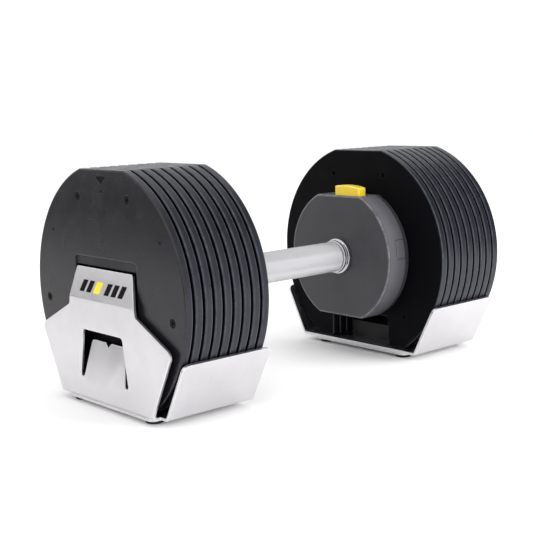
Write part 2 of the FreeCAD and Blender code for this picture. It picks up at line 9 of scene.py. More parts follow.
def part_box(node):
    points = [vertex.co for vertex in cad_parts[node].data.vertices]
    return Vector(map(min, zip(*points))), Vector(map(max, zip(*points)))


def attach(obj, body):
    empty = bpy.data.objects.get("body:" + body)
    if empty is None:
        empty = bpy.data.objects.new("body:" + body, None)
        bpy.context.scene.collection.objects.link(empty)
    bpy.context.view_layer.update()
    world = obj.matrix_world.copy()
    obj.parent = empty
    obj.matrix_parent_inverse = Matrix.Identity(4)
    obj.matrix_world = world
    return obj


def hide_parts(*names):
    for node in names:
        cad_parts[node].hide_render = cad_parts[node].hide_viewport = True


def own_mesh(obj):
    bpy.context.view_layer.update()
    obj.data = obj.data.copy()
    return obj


# Looks of the adjustable dumbbell.  Every shape is first made in millimetres for the
# right-hand (+X) end, with z = 0 on the handle's axis.  to_row() puts it in the row
# frame, in metres, and turns it half a turn about +Z for the left-hand end.

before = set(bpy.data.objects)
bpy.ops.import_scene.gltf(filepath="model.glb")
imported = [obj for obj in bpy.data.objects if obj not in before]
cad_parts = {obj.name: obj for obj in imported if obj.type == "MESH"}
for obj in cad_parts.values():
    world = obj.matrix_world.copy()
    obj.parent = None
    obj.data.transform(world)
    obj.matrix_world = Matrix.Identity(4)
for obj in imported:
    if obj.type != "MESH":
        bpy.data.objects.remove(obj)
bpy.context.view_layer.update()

MM = 0.001
SIDES = ("left", "right")

# ---------------------------------------------------------------- sizes from the frame
tube_low, tube_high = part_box("grip_tube")
AXIS_Z = (tube_low.z + tube_high.z) / 2
TUBE_END = tube_high.x / MM


def span(node, axis):
    """Lowest and highest value of one coordinate of a node, in millimetres, with heights
    counted from the handle's axis."""
    low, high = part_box(node)
    lift = AXIS_Z if axis == 2 else 0.0
    return (low[axis] - lift) / MM, (high[axis] - lift) / MM


PLATE_R = span("plate_1_right", 1)[1]
PLATE_LOW, PLATE_TOP = span("plate_1_right", 2)
COVER_START, STACK_END = span("end_plate_cover_right", 0)
CORE_START = span("end_plate_core_right", 0)[0]
HOUSING_START, HOUSING_BACK = span("housing_right", 0)
HOUSING_R = span("housing_right", 1)[1]
HOUSING_FLAT = span("housing_right", 2)[1]
CRADLE_START, END_OUTER = span("cradle_right", 0)
CRADLE_LOW = span("cradle_right", 2)[0]
PLUG_START, PLUG_END = span("rim_plug_right", 0)
PLUG_LOW, PLUG_HIGH = span("rim_plug_right", 2)
BUTTON_TOP = span("release_button_right", 2)[1]
COLLAR_START, COLLAR_END = span("collar_right", 0)
COLLAR_R = span("collar_right", 1)[1]

# Sizes that no box gives, as in the part's own source.  MARK alone is drawn a little larger
# than there.
NOTCH_HALF = 36.0
NOTCH_TOP = -58.0
CHANNEL_HALF = 42.2
CHANNEL_TOP = 20.8
CHANNEL_DEPTH = 4.6
STEP_TOP = 27.5
STEP_DEPTH = 1.2
SCREWS = ((82.9, 65.6), (82.9, 114.4), (86.7, -7.8), (86.7, 187.8))
DOTS = ((80.5, 90.0), (87.5, 32.0), (87.5, 148.0))
SOCKETS = ((81.0, 67.0), (81.0, 113.0), (79.0, -45.0), (79.0, 225.0))
MARK = ((-7.6, 92.2), (7.6, 92.2), (0.0, 86.2))
MARK_DEPTH = 1.0
MARK_CORNER = 0.4
RELIEF_DEPTH = 3.5
RELIEF_RIM = 10.0
RELIEF_HUB_R = 22.0
BAR_HOLE_R = 9.4
BAR_HOLE_FLAT = 0.1
SHEET = 2.5
RIM_T = 3.6
BUSH_R = 15.8
JOURNAL_R = 13.2
GRIP_R = 14.1
GRIP_HALF = 68.0
BORE_R = 9.3


# ---------------------------------------------------------------- outlines
def polar(radius, degrees):
    angle = math.radians(degrees)
    return radius * math.cos(angle), radius * math.sin(angle)


def arc(radius, start, end, step=2.5, centre=(0.0, 0.0)):
    """Points of an arc, both ends included, in degrees."""
    count = max(2, math.ceil(abs(end - start) / step))
    points = []
    for index in range(count + 1):
        a, b = polar(radius, start + (end - start) * index / count)
        points.append((centre[0] + a, centre[1] + b))
    return points


def circle(radius, centre=(0.0, 0.0), step=10.0, hole=False):
    loop = arc(radius, 0.0, 360.0, step, centre)[:-1]
    return loop[::-1] if hole else loop


def rounded(corners, step=12.0):
    """Closed loop through (a, b, radius) corners, each turned into a fillet of that radius."""
    loop = []
    for index, (a, b, radius) in enumerate(corners):
        if radius == 0:
            loop.append((a, b))
            continue
        here = Vector((a, b))
        before = (Vector(corners[index - 1][:2]) - here).normalized()
        after = (Vector(corners[(index + 1) % len(corners)][:2]) - here).normalized()
        half = math.acos(max(-1.0, min(1.0, before.dot(after)))) / 2
        centre = here + (before + after).normalized() * (radius / math.sin(half))
        first = here + before * (radius / math.tan(half)) - centre
        last = here + after * (radius / math.tan(half)) - centre
        turn = math.atan2(first.x * last.y - first.y * last.x, first.dot(last))
        count = max(2, math.ceil(abs(math.degrees(turn)) / step))
        for part in range(count + 1):
            angle = turn * part / count
            loop.append((
                centre.x + first.x * math.cos(angle) - first.y * math.sin(angle),
                centre.y + first.x * math.sin(angle) + first.y * math.cos(angle),
            ))
    return loop


def plain(points):
    return [(a, b, 0.0) for a, b in points]


def rectangle(a, b, radius=0.0, step=12.0, hole=False):
    """Loop of a rectangle between two a and two b values, with rounded corners."""
    corners = [(p, q, radius) for p, q in ((a[0], b[0]), (a[1], b[0]), (a[1], b[1]), (a[0], b[1]))]
    if hole:
        corners = corners[:1] + corners[:0:-1]
    return rounded(corners, step)


def shift(loop, inset, weights=None):
    """The loop moved towards the material, which lies on its left-hand side."""
    moved = []
    for index, (a, b) in enumerate(loop):
        here = Vector((a, b))
        into = (here - Vector(loop[index - 1])).normalized()
        out = (Vector(loop[(index + 1) % len(loop)]) - here).normalized()
        left = Vector((-into.y - out.y, into.x + out.x)) / (1.0 + into.dot(out))
        reach = inset * (weights[index] if weights else 1.0)
        moved.append((a + left.x * reach, b + left.y * reach))
    return moved


def plate_outline(half=NOTCH_HALF, top=NOTCH_TOP, inset=0.0, low_corner=1.5, top_corner=2.0):
    """Disc with a flat above and below, and a notch up from the lower flat."""
    radius = PLATE_R - inset
    low = PLATE_LOW + inset
    high = PLATE_TOP - inset
    half += inset
    top += inset
    start = math.degrees(math.asin(low / radius))
    end = math.degrees(math.asin(high / radius))
    corners = [(half, low, low_corner)]
    corners += plain(arc(radius, start, end))
    corners += plain(arc(radius, 180 - end, 180 - start))
    corners += [(-half, low, low_corner), (-half, top, top_corner), (half, top, top_corner)]
    return rounded(corners)


def bar_hole():
    """Half-round hole on the -Y side, as a hole loop."""
    start = math.degrees(math.acos(BAR_HOLE_FLAT / BAR_HOLE_R))
    return arc(BAR_HOLE_R, start, 360 - start, 9.0)[::-1]


def housing_loop(inset=0.0):
    """Disc with a flat above and below."""
    radius = HOUSING_R - inset
    edge = math.degrees(math.asin((HOUSING_FLAT - inset) / radius))
    return arc(radius, -edge, edge) + arc(radius, 180 - edge, 180 + edge)


# ---------------------------------------------------------------- solids
LATHE_STEP = 3.75
FACING_X = 0.9


def levels(low, high, edge_low=0.0, edge_high=0.0, steps=3, fade=0.7):
    """(inset, height, edge mark) rings of a wall with rounded edges; the edge mark, partly
    abrasion and partly painted highlight, fades away from the edges.
    """
    rings = []
    if edge_low:
        rings.append((edge_low + fade, low, 0.0))
        for step in range(steps + 1):
            angle = math.pi / 2 * step / steps
            wear_and_highlight = 0.6 + 0.4 * math.sin(2 * angle)
            inset = edge_low * (1 - math.sin(angle))
            rings.append((inset, low + edge_low * (1 - math.cos(angle)), wear_and_highlight))
        rings.append((0.0, low + edge_low + fade, 0.0))
    else:
        rings.append((0.0, low, 0.0))
    if edge_high:
        rings.append((0.0, high - edge_high - fade, 0.0))
        for step in range(steps + 1):
            angle = math.pi / 2 * step / steps
            wear_and_highlight = 0.6 + 0.4 * math.sin(2 * angle)
            inset = edge_high * (1 - math.cos(angle))
            rings.append((inset, high - edge_high * (1 - math.sin(angle)), wear_and_highlight))
        rings.append((edge_high + fade, high, 0.0))
    else:
        rings.append((0.0, high, 0.0))
    return rings


class Solid:
    """Points, faces and an edge mark that is partly abrasion and partly painted highlight.  Loops
    are drawn in (a, b) and stacked along c.
    along = "x" puts (a, b, c) at (c, a, b); along = "z" leaves them as (x, y, z)."""

    def __init__(self, along="x"):
        self.along = along
        self.points = []
        self.wear_and_highlight = []
        self.faces = []

    def ring(self, loop, height, wear_and_highlight=0.0):
        start = len(self.points)
        for a, b in loop:
            self.points.append((height, a, b) if self.along == "x" else (a, b, height))
            self.wear_and_highlight.append(wear_and_highlight)
        return list(range(start, start + len(loop)))

    def bridge(self, lower, upper):
        count = len(lower)
        for index in range(count):
            after = (index + 1) % count
            self.faces.append((lower[index], lower[after], upper[after], upper[index]))

    def wall(self, loop, rings, weights=None):
        """Wall along a loop; returns its first and last ring."""
        made = [self.ring(shift(loop, inset, weights), height, wear_and_highlight)
                for inset, height, wear_and_highlight in rings]
        for lower, upper in zip(made, made[1:]):
            self.bridge(lower, upper)
        return made[0], made[-1]

    def fill(self, *rings):
        """Flat face between an outline and any holes in it."""
        flat = []
        for ring in rings:
            corners = [self.points[index] for index in ring]
            if self.along == "x":
                corners = [(b, c, 0.0) for a, b, c in corners]
            else:
                corners = [(a, b, 0.0) for a, b, c in corners]
            flat.append([Vector(corner) for corner in corners])
        order = [index for ring in rings for index in ring]
        for triangle in tessellate_polygon(flat):
            self.faces.append(tuple(order[index] for index in triangle))

    def slab(self, outline, holes, low, high, edge_low=0.0, edge_high=0.0, steps=3, fade=0.7):
        walls = [self.wall(outline, levels(low, high, edge_low, edge_high, steps, fade))]
        for hole in holes:
            rings = levels(low, high, edge_low / 2, edge_high / 2, 2, fade / 2)
            walls.append(self.wall(hole, rings))
        self.fill(*[wall[0] for wall in walls])
        self.fill(*[wall[1] for wall in walls])

    def block(self, a, b, c, edge):
        self.slab(rectangle(a, b), [], c[0], c[1], edge, edge, 2, 0.3)

    def sunk(self, loop, floor, face, edge=0.15):
        """Blind hole of a hole loop, from the face down to its floor; returns its rim."""
        way = math.copysign(1.0, face - floor)
        rings = [(inset, floor + way * height, wear_and_highlight)
                 for inset, height, wear_and_highlight in levels(0.0, abs(face - floor), 0.0, edge, 2, 0.25)]
        bottom, rim = self.wall(loop, rings)
        self.fill(bottom)
        return rim

    def lathe(self, profile):
        """Closed (x, radius) profile turned about the handle's axis."""
        made = [self.ring(circle(radius, step=LATHE_STEP), x) for x, radius in profile]
        for lower, upper in zip(made, made[1:] + made[:1]):
            self.bridge(lower, upper)


def to_row(point, side):
    x, y, z = point
    if side == "left":
        x, y = -x, -y
    return Vector((x * MM, y * MM, z * MM + AXIS_Z))


def piece(name, solid, side, body, material, replaces=(), bend=None, cuts=(), sharp=34.0,
          face_material=None):
    """Mesh object from a solid.  cuts are (axis, value) planes that split it before bend maps
    its points.  face_material goes on the faces that look along X."""
    mesh = bpy.data.meshes.new(name)
    mesh.from_pydata(solid.points, [], solid.faces)
    # per-point edge mark for the materials: partly abrasion, partly painted highlight on the
    # rounded edges
    mesh.attributes.new("wear_and_highlight", "FLOAT", "POINT").data.foreach_set("value", solid.wear_and_highlight)
    work = bmesh.new()
    work.from_mesh(mesh)
    for axis, value in cuts:
        normal = [0.0, 0.0, 0.0]
        normal[axis] = 1.0
        plane = [value * part for part in normal]
        parts = work.verts[:] + work.edges[:] + work.faces[:]
        bmesh.ops.bisect_plane(work, geom=parts, plane_co=plane, plane_no=normal, dist=1e-4)
    for vertex in work.verts:
        place = bend(vertex.co) if bend else vertex.co
        vertex.co = to_row(place, side)
    bmesh.ops.recalc_face_normals(work, faces=work.faces[:])
    work.to_mesh(mesh)
    work.free()
    mesh.shade_smooth()
    mesh.set_sharp_from_angle(angle=math.radians(sharp))
    mesh.materials.append(material)
    if face_material:
        mesh.materials.append(face_material)
        for polygon in mesh.polygons:
            polygon.material_index = 1 if abs(polygon.normal.x) > FACING_X else 0
    made = bpy.data.objects.new(name, mesh)
    bpy.context.scene.collection.objects.link(made)
    normals = made.modifiers.new("face normals", "WEIGHTED_NORMAL")
    normals.keep_sharp = True
    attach(made, body)
    if replaces:
        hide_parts(*replaces)
    return made


# ---------------------------------------------------------------- materials
# (low, high) noise values that are stretched over the whole of what they drive
DRIFT_SPAN = (0.3, 0.7)
GRAIN_SPAN = (0.35, 0.75)
BREAK_SPAN = (0.35, 0.65)
# sizes of noise features, in metres
STREAK_SIZE = 0.002
BREAK_SIZE = 0.006
SMUDGE_TO_PATCH = 0.45
GRAIN_DARKNESS = 0.6
STREAK_SHARE = 0.35
# least share of the edge mark, which is partly abrasion and partly painted highlight
LEAST_WEAR_AND_HIGHLIGHT = 0.25
COAT_ROUGH = 0.2


def add_node(tree, kind, settings=None, **inputs):
    """Shader node whose inputs are given by name, as values or as other nodes' outputs."""
    node = tree.nodes.new("ShaderNode" + kind)
    for key, value in (settings or {}).items():
        setattr(node, key, value)
    for key, value in inputs.items():
        socket = node.inputs[key.replace("_", " ")]
        if isinstance(value, bpy.types.NodeSocket):
            tree.links.new(value, socket)
        else:
            socket.default_value = value
    return node


def noise(tree, place, size, detail=3.0, rough=0.55):
    """Noise with features of about size metres."""
    node = add_node(tree, "TexNoise", Vector=place, Scale=1.0 / size, Detail=detail,
                    Roughness=rough)
    return node.outputs["Fac"]


def ranged(tree, value, spread, new_low, new_high):
    """The value with its (low, high) spread mapped onto a new range, and held there."""
    low, high = spread
    node = add_node(tree, "MapRange", From_Min=low, From_Max=high, To_Min=new_low, To_Max=new_high)
    tree.links.new(value, node.inputs["Value"])
    return node.outputs["Result"]


def times(tree, first, second):
    node = add_node(tree, "Math", {"operation": "MULTIPLY"})
    tree.links.new(first, node.inputs[0])
    if isinstance(second, bpy.types.NodeSocket):
        tree.links.new(second, node.inputs[1])
    else:
        node.inputs[1].default_value = second
    return node.outputs["Value"]


def blend_colours(tree, factor, first, second):
    node = add_node(tree, "Mix", {"data_type": "RGBA"})
    tree.links.new(factor, node.inputs["Factor"])
    for socket, value in ((node.inputs[6], first), (node.inputs[7], second)):
        if isinstance(value, bpy.types.NodeSocket):
            tree.links.new(value, socket)
        else:
            socket.default_value = (*value, 1.0)
    return node.outputs[2]


def surface(name, first, second, rough, metal=0.0, specular=0.5, patch=0.04, grain=0.0005,
            relief=0.00003, worn_and_highlight=None, wear_and_highlight_amount=0.6, streaks=None, coat=0.0, rough_swing=0.07,
            speckle=0.12, tint=(1.0, 1.0, 1.0)):
    """Material whose colour drifts between two tones in patches, with fine grain in its bump,
    uneven gloss, light edges that are partly abrasion and partly painted highlight, and optional
    streaks along one axis."""
    material = bpy.data.materials.new(name)
    material.use_nodes = True
    tree = material.node_tree
    shader = tree.nodes["Principled BSDF"]
    place = add_node(tree, "TexCoord").outputs["Object"]
    drift = ranged(tree, noise(tree, place, patch, 5.0, 0.6), DRIFT_SPAN, 0.0, 1.0)
    colour = blend_colours(tree, drift, first, second)
    fine = noise(tree, place, grain, 3.0)
    darker = tuple(part * GRAIN_DARKNESS for part in first)
    colour = blend_colours(tree, ranged(tree, fine, GRAIN_SPAN, speckle, 0.0), colour, darker)
    smudge = noise(tree, place, patch * SMUDGE_TO_PATCH, 6.0, 0.65)
    gloss = ranged(tree, smudge, DRIFT_SPAN, rough - rough_swing, rough + rough_swing)
    height = fine
    if streaks:
        stretched = add_node(tree, "Mapping", Vector=place, Scale=streaks).outputs["Vector"]
        lines = noise(tree, stretched, STREAK_SIZE, 4.0, 0.7)
        height = add_node(tree, "Math", {"operation": "ADD"})
        tree.links.new(fine, height.inputs[0])
        tree.links.new(lines, height.inputs[1])
        height = height.outputs["Value"]
        lined = ranged(tree, lines, DRIFT_SPAN, 0.0, STREAK_SHARE)
        colour = blend_colours(tree, lined, colour, second)
    # lightens the rounded edges: partly abrasion, partly painted highlight
    if worn_and_highlight:
        edge = add_node(tree, "Attribute", {"attribute_name": "wear_and_highlight"}).outputs["Fac"]
        edge_breakup = noise(tree, place, BREAK_SIZE, 6.0, 0.7)
        broken = ranged(tree, edge_breakup, BREAK_SPAN, LEAST_WEAR_AND_HIGHLIGHT, 1.0)
        share = times(tree, times(tree, edge, broken), wear_and_highlight_amount)
        colour = blend_colours(tree, share, colour, worn_and_highlight)
    bump = add_node(tree, "Bump", Strength=1.0, Distance=relief, Height=height)
    tree.links.new(colour, shader.inputs["Base Color"])
    tree.links.new(gloss, shader.inputs["Roughness"])
    tree.links.new(bump.outputs["Normal"], shader.inputs["Normal"])
    shader.inputs["Metallic"].default_value = metal
    shader.inputs["Specular IOR Level"].default_value = specular
    shader.inputs["Specular Tint"].default_value = (*tint, 1.0)
    shader.inputs["Coat Weight"].default_value = coat
    shader.inputs["Coat Roughness"].default_value = COAT_ROUGH
    return material


# The light edge colours of these materials are partly abrasion and partly painted highlight on the
# rounded edges.
PLATE = surface("plate coat", (0.0045, 0.0046, 0.0070), (0.0085, 0.0087, 0.0125), 0.33,
                specular=0.45, grain=0.0007, relief=0.00005, worn_and_highlight=(0.12, 0.13, 0.17),
                wear_and_highlight_amount=0.4, tint=(0.84, 0.88, 1.0))
# Darker, duller copy of the plate coat for the faces that look along X: painted shade on the
# plates' faces.
PLATE_IN_SHADE = surface("plate coat in shade", (0.0014, 0.0013, 0.0021), (0.0026, 0.0025, 0.0036),
                     0.60, specular=0.06, grain=0.0007, relief=0.00005, worn_and_highlight=(0.05, 0.05, 0.06),
                     wear_and_highlight_amount=0.3)
COVER = surface("end cover plastic", (0.0075, 0.0070, 0.0095), (0.0115, 0.0107, 0.0140), 0.25,
                specular=0.34, grain=0.0004, relief=0.00002, worn_and_highlight=(0.08, 0.08, 0.09),
                wear_and_highlight_amount=0.2, rough_swing=0.04)
SILVER = surface("satin sheet", (0.665, 0.65, 0.67), (0.735, 0.72, 0.74), 0.34, metal=1.0,
                 grain=0.0005, relief=0.000012, patch=0.05, worn_and_highlight=(0.97, 0.97, 0.97),
                 wear_and_highlight_amount=0.8, streaks=(1.0, 0.15, 0.15), speckle=0.10)
HOUSING = surface("housing plastic", (0.040, 0.038, 0.044), (0.054, 0.052, 0.059), 0.38,
                  specular=0.38, grain=0.0004, relief=0.00003, worn_and_highlight=(0.50, 0.50, 0.53),
                  wear_and_highlight_amount=0.35)
# Lighter copy of the housing plastic for the rim and its plug: painted light on the sides that
# face the lamps.
HOUSING_RIM_LIT = surface("housing plastic lit rim copy", (0.104, 0.103, 0.117), (0.128, 0.127, 0.142), 0.38,
              specular=0.38, grain=0.0004, relief=0.00003, worn_and_highlight=(0.30, 0.30, 0.33),
              wear_and_highlight_amount=0.1)
BUTTON = surface("button plastic", (0.76, 0.53, 0.018), (0.84, 0.61, 0.030), 0.36,
                 grain=0.0004, relief=0.00002, patch=0.012, worn_and_highlight=(0.95, 0.85, 0.4),
                 wear_and_highlight_amount=0.5, coat=0.15, speckle=0.05)
CHROME = surface("chrome", (0.56, 0.56, 0.59), (0.66, 0.66, 0.69), 0.14, metal=1.0,
                 grain=0.0006, relief=0.000003, rough_swing=0.05, speckle=0.03)
KNURL = surface("knurled steel", (0.66, 0.66, 0.68), (0.72, 0.72, 0.74), 0.30, metal=1.0,
                grain=0.0003, relief=0.00001, worn_and_highlight=(0.85, 0.85, 0.87), wear_and_highlight_amount=0.15,
                rough_swing=0.03, speckle=0.05)
STEEL = surface("machined steel", (0.42, 0.42, 0.43), (0.55, 0.55, 0.56), 0.30, metal=1.0,
                grain=0.0004, relief=0.00001, streaks=(1.0, 0.1, 1.0))
BRASS = surface("bush brass", (0.62, 0.44, 0.16), (0.72, 0.54, 0.22), 0.32, metal=1.0,
                grain=0.0004, relief=0.00001)
RUBBER = surface("foot rubber", (0.010, 0.010, 0.010), (0.016, 0.016, 0.016), 0.72,
                 grain=0.0005, relief=0.00006, specular=0.3)
RAIL = surface("rail plastic", (0.010, 0.010, 0.012), (0.018, 0.018, 0.020), 0.50,
               grain=0.0005, relief=0.00004, specular=0.3)
DARK_SCREW = surface("blackened screw", (0.002, 0.002, 0.003), (0.005, 0.005, 0.006), 0.50,
                     specular=0.12, grain=0.0003, relief=0.00001, patch=0.004)
FILM = surface("label film", (0.66, 0.645, 0.665), (0.72, 0.705, 0.725), 0.34, metal=1.0,
               grain=0.0004, relief=0.000008)
CARD = surface("grey card", (0.10, 0.10, 0.10), (0.13, 0.13, 0.13), 0.8, specular=0.1)
INK = surface("black ink", (0.002, 0.002, 0.002), (0.004, 0.004, 0.004), 0.65, specular=0.10,
              grain=0.0003, relief=0.00001, patch=0.01)
YELLOW_INK = surface("yellow ink", (0.78, 0.62, 0.01), (0.84, 0.70, 0.03), 0.45, specular=0.3,
                     grain=0.0003, relief=0.00001, patch=0.01)


# ---------------------------------------------------------------- plates
PLATE_EDGE = 1.2
HOLE_EDGE = 0.4
POCKET_EDGE = 0.5
SOCKET_R = 2.4
SOCKET_DEPTH = 1.5
SEAT_R = 3.4
SEAT_DEPTH = 1.4
DOT_R = 1.2
DOT_DEPTH = 1.0
# the paint lies a little above the floor, inside the walls and below the mouth of what it fills
PAINT_LIFT = 0.02
PAINT_INSET = 0.08
PAINT_DOT_R = 1.15
PAINT_DROP = 0.30


def plate_solid(start, end, sockets):
    """One-piece plate: rounded rim, half-round hole and a relief pocket on its outer face."""
    solid = Solid()
    floor = end - RELIEF_DEPTH
    rim = solid.wall(plate_outline(), levels(start, end, PLATE_EDGE, PLATE_EDGE))
    hole = solid.wall(bar_hole(), levels(start, end, HOLE_EDGE, HOLE_EDGE, 2, 0.3))
    hub = solid.wall(circle(RELIEF_HUB_R, step=6.0), levels(floor, end, 0.0, POCKET_EDGE, 2))
    pocket_loop = plate_outline(inset=RELIEF_RIM, low_corner=3.0, top_corner=4.0)[::-1]
    pocket = solid.wall(pocket_loop, levels(floor, end, 0.0, POCKET_EDGE, 2))
    rims = []
    if sockets:
        for socket in SOCKETS:
            loop = circle(SOCKET_R, polar(*socket), 20.0, hole=True)
            rims.append(solid.sunk(loop, start + SOCKET_DEPTH, start))
    solid.fill(rim[0], hole[0], *rims)
    solid.fill(rim[1], pocket[1])
    solid.fill(hub[1], hole[1])
    solid.fill(pocket[0], hub[0])
    return solid


def core_solid():
    """Steel part of the end plate, with the channel for the cradle's neck."""
    solid = Solid()
    middle = STACK_END - CHANNEL_DEPTH
    solid.slab(plate_outline(), [bar_hole()], CORE_START, middle, PLATE_EDGE, 0.0)
    outline = plate_outline(CHANNEL_HALF, CHANNEL_TOP, low_corner=1.0)
    solid.slab(outline, [], middle, COVER_START, 0.0, 0.0)
    return solid


def cover_solid():
    """Moulded cover with screw seats, locating dots, a small triangle and a shallow step."""
    solid = Solid()
    outline = plate_outline(CHANNEL_HALF, STEP_TOP, low_corner=1.0, top_corner=2.5)
    rim = solid.wall(outline, levels(COVER_START, STACK_END, 0.0, 0.9))
    rims = []
    for screw in SCREWS:
        loop = circle(SEAT_R, polar(*screw), 15.0, hole=True)
        rims.append(solid.sunk(loop, STACK_END - SEAT_DEPTH, STACK_END, 0.25))
    for dot in DOTS:
        loop = circle(DOT_R, polar(*dot), 30.0, hole=True)
        rims.append(solid.sunk(loop, STACK_END - DOT_DEPTH, STACK_END))
    mark = rounded([(a, b, MARK_CORNER) for a, b in MARK])
    rims.append(solid.sunk(mark, STACK_END - MARK_DEPTH, STACK_END))
    solid.fill(rim[0])
    solid.fill(rim[1], *rims)
    return solid


def step_solid():
    """Band of the cover that lies lower than its face, above the channel."""
    solid = Solid()
    wide = (-CHANNEL_HALF, CHANNEL_HALF)
    solid.block(wide, (CHANNEL_TOP, STEP_TOP), (COVER_START, STACK_END - STEP_DEPTH), 0.2)
    return solid


def inlay_solid():
    """Black paint in the triangle and in the locating dots."""
    solid = Solid()
    low = STACK_END - MARK_DEPTH + PAINT_LIFT
    high = STACK_END - PAINT_DROP
    triangle = rounded([(a, b, MARK_CORNER) for a, b in MARK[::-1]])
    solid.slab(shift(triangle, PAINT_INSET), [], low, high)
    for dot in DOTS:
        solid.slab(circle(PAINT_DOT_R, polar(*dot), 30.0), [], low, high)
    return solid


for side in SIDES:
    for number in range(1, 9):
        name = f"plate_{number}_{side}"
        ends = span(f"plate_{number}_right", 0)
        solid = plate_solid(ends[0], ends[1], number == 1)
        # faces that look along X take the darker copy of the coat: painted shade
        piece(name + "_coated", solid, side, name, PLATE, [name],
              face_material=PLATE_IN_SHADE)
    body = f"end_plate_{side}"
    core = f"end_plate_core_{side}"
    cover = f"end_plate_cover_{side}"
    piece(core + "_coated", core_solid(), side, body, PLATE, [core],
          face_material=PLATE_IN_SHADE)
    piece(cover + "_moulded", cover_solid(), side, body, COVER, [cover])
    piece(cover + "_step", step_solid(), side, body, RAIL, [cover])
    piece(cover + "_inlay", inlay_solid(), side, body, INK)


# ---------------------------------------------------------------- cradle
WALL_LEAN = 27.0
WALL_DISTANCE = 103.0
WALL_TOP = -41.5
WALL_END = 183.0
BEND_R = 1.2
BASE_TOP = CRADLE_LOW + SHEET
END_INNER = END_OUTER - SHEET
NECK_BEND_Z = -5.74
NECK_LENGTH = 25.2
NECK_LEAN = 11.0
NECK_BEND_R = 9.0
NECK_PIVOT_Z = -5.5
TONGUE_LEAN = 11.0
TONGUE_HINGE = -70.0
TONGUE_CEILING = -37.0
SLIT_MIDDLE = 2.1

# (half width, height) corners of the end wall, its window and the tongue
END_FOOT = (65.0, BASE_TOP + 2)
SHOULDER = (90.5, -34.0)
NECK_FOOT = (46.0, -12.0)
NECK_BEND = (45.0, -5.5)
NECK_TOP_HALF = 38.6
WINDOW_LOW_HALF = 33.4
WINDOW_TOP = (27.5, -30.5)
TONGUE_LOW = (29.0, -71.0)
TONGUE_TOP = (23.2, -39.0)
NOTCH_IN_TONGUE = 3.8

BASE_SCREW_X = (112.0, 172.0)
BASE_SCREW_Y = (-44.0, 44.0)
BASE_SCREW_R = 4.0
SHEET_EDGE = 0.35


def bend_span(angle, radius=BEND_R):
    """Length that a bend takes off each straight run beside it."""
    return radius * math.tan(math.radians(angle) / 2)


lean = math.radians(WALL_LEAN)
SIDE_TURN = 90 - WALL_LEAN
FOOT_Y = (WALL_DISTANCE + BASE_TOP * math.sin(lean)) / math.cos(lean)
SIDE_BENDS = [(FOOT_Y - bend_span(SIDE_TURN), SIDE_TURN, BEND_R)]
SIDE_REACH = (WALL_TOP - BASE_TOP) / math.cos(lean) - bend_span(SIDE_TURN)
WING_TOP = SIDE_BENDS[0][0] + BEND_R * math.radians(SIDE_TURN) + SIDE_REACH


def rise(z):
    """Distance along the sheet's inner face to height z on the end wall."""
    return END_INNER + (z - BASE_TOP) + BEND_R * (math.pi / 2 - 2)


END_BENDS = [
    (END_INNER - BEND_R, 90.0, BEND_R),
    (rise(NECK_BEND_Z) - bend_span(NECK_LEAN, NECK_BEND_R), NECK_LEAN, NECK_BEND_R),
]


def follow(distance, depth, bends):
    """Point of a sheet that starts level and turns up at each (start, angle, radius) bend.
    distance runs along its inner face; depth is 0 there and negative towards its outer face."""
    along = up = heading = travelled = 0.0
    for start, angle, radius in bends:
        run = min(distance, start) - travelled
        along += run * math.cos(heading)
        up += run * math.sin(heading)
        travelled += run
        if distance <= start:
            break
        turn = min((distance - start) / radius, math.radians(angle))
        along += radius * (math.sin(heading + turn) - math.sin(heading))
        up += radius * (math.cos(heading) - math.cos(heading + turn))
        heading += turn
        travelled = start + turn * radius
    run = distance - travelled
    along += run * math.cos(heading) - depth * math.sin(heading)
    up += run * math.sin(heading) + depth * math.cos(heading)
    return along, up


def tongue_half(z):
    """Half width of the tongue at height z, up to the middle of the slit beside it."""
    (low_half, low), (top_half, top) = TONGUE_LOW, TONGUE_TOP
    return low_half + (top_half - low_half) * (z - low) / (top - low) + SLIT_MIDDLE


def fold_cradle(point):
    """Flat pattern (distance along X, distance along Y, depth) to its folded place."""
    u, v, depth = point
    if u <= WALL_END + 0.01:
        across, up = follow(abs(v), depth, SIDE_BENDS)
        return u, math.copysign(across, v), BASE_TOP + up
    along, up = follow(u, depth, END_BENDS)
    up += BASE_TOP
    if TONGUE_HINGE <= up < TONGUE_CEILING and abs(v) < tongue_half(up):
        pivot = END_INNER + SHEET / 2
        angle = math.radians(TONGUE_LEAN)
        out, height = along - pivot, up - TONGUE_HINGE
        along = pivot + out * math.cos(angle) - height * math.sin(angle)
        up = TONGUE_HINGE + height * math.cos(angle) + out * math.sin(angle)
    return along, v, up


